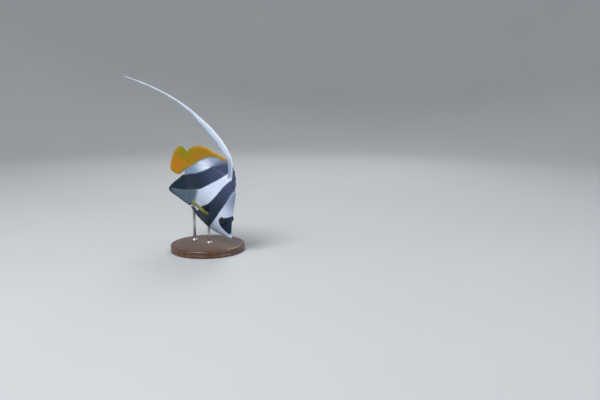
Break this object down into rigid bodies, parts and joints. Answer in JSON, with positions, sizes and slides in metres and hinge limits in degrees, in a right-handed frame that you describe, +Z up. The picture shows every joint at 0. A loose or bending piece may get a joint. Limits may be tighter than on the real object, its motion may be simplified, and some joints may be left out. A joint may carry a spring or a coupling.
{
  "type": "bannerfish model",
  "caption": "Life-size bannerfish with black and white bands, yellow rear fins and a long white streamer, held nose-down by rods on a round base.",
  "frame": {"origin": "centre of the underside of the round stand base, on the surface that it stands on", "axes": "+Z up, -Z out of the stand's underside; +Y away from the viewer of the fish's right side, +X to that viewer's right"},
  "size_m": [0.2121, 0.1415, 0.2902],
  "materials": {
    "skin": "moist, finely scaled fish skin, white with two broad black bands and a dark mask",
    "fin_yellow": "translucent yellow fin membrane over raised rays",
    "fin_white": "translucent white fin membrane over spines",
    "fin_black": "black and smoky fin membrane over raised rays",
    "eye": "wet, clear eye with a dark iris",
    "stand_wood": "dark stained, satin varnished",
    "stand_steel": "brushed along its length"
  },
  "bodies": {
    "root": {"head": "skin", "trunk": "skin", "tail_base": "skin", "eye_left": "eye", "eye_right": "eye", "dorsal_fin_front": "fin_black", "banner": "fin_white", "dorsal_fin_spiny": "fin_white", "dorsal_fin_soft": "fin_yellow", "anal_fin": "fin_black", "caudal_fin": "fin_yellow", "pectoral_fin_left": "fin_yellow", "pectoral_fin_right": "fin_yellow", "pelvic_fin_left": "fin_black", "pelvic_fin_right": "fin_black", "stand_base": "stand_wood", "stand_rod_front": "stand_steel", "stand_rod_rear": "stand_steel"}
  },
  "joints": []
}
